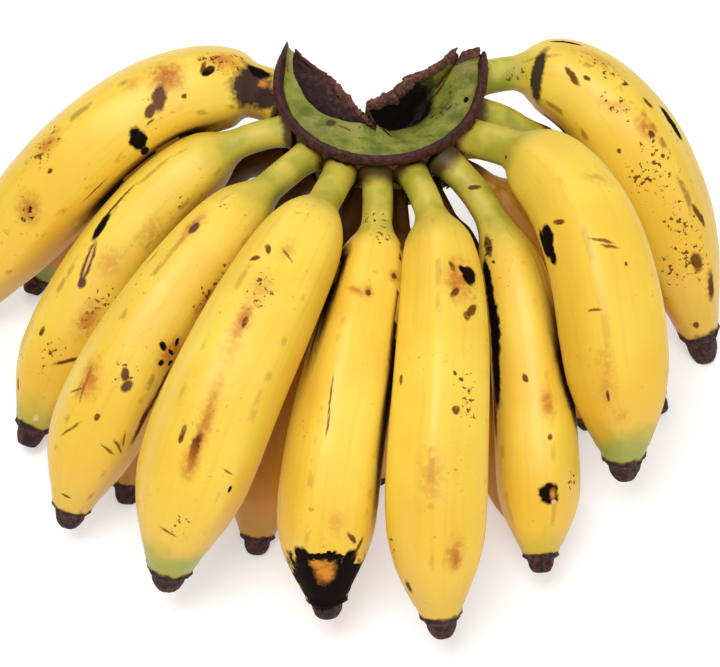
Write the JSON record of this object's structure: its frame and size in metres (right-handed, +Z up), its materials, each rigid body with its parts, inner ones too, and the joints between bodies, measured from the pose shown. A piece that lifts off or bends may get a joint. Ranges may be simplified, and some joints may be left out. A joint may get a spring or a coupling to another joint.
{
  "type": "hand of bananas",
  "caption": "Hand of ripe dessert bananas in two rows on one cut crown, lying on a surface with the tips of the fingers curling down.",
  "frame": {"origin": "centre of the hand's box on the surface that it lies on", "axes": "+X along the row of fingers, the longest way, to the right as seen from the fingertips; +Z up, away from the surface; the tips of the outer row point towards -Y"},
  "size_m": [0.2699, 0.1962, 0.1033],
  "materials": {
    "peel": "satin yellow peel with brown marks, green neck and dark end",
    "crown": "dry green and brown cut tissue"
  },
  "bodies": {
    "root": {"crown": "crown", "outer_finger_1": "peel", "outer_finger_2": "peel", "outer_finger_3": "peel", "outer_finger_4": "peel", "outer_finger_5": "peel", "outer_finger_6": "peel", "outer_finger_7": "peel", "outer_finger_8": "peel", "outer_finger_9": "peel", "inner_finger_1": "peel", "inner_finger_2": "peel", "inner_finger_3": "peel", "inner_finger_4": "peel", "inner_finger_5": "peel", "inner_finger_6": "peel", "inner_finger_7": "peel"}
  },
  "joints": []
}
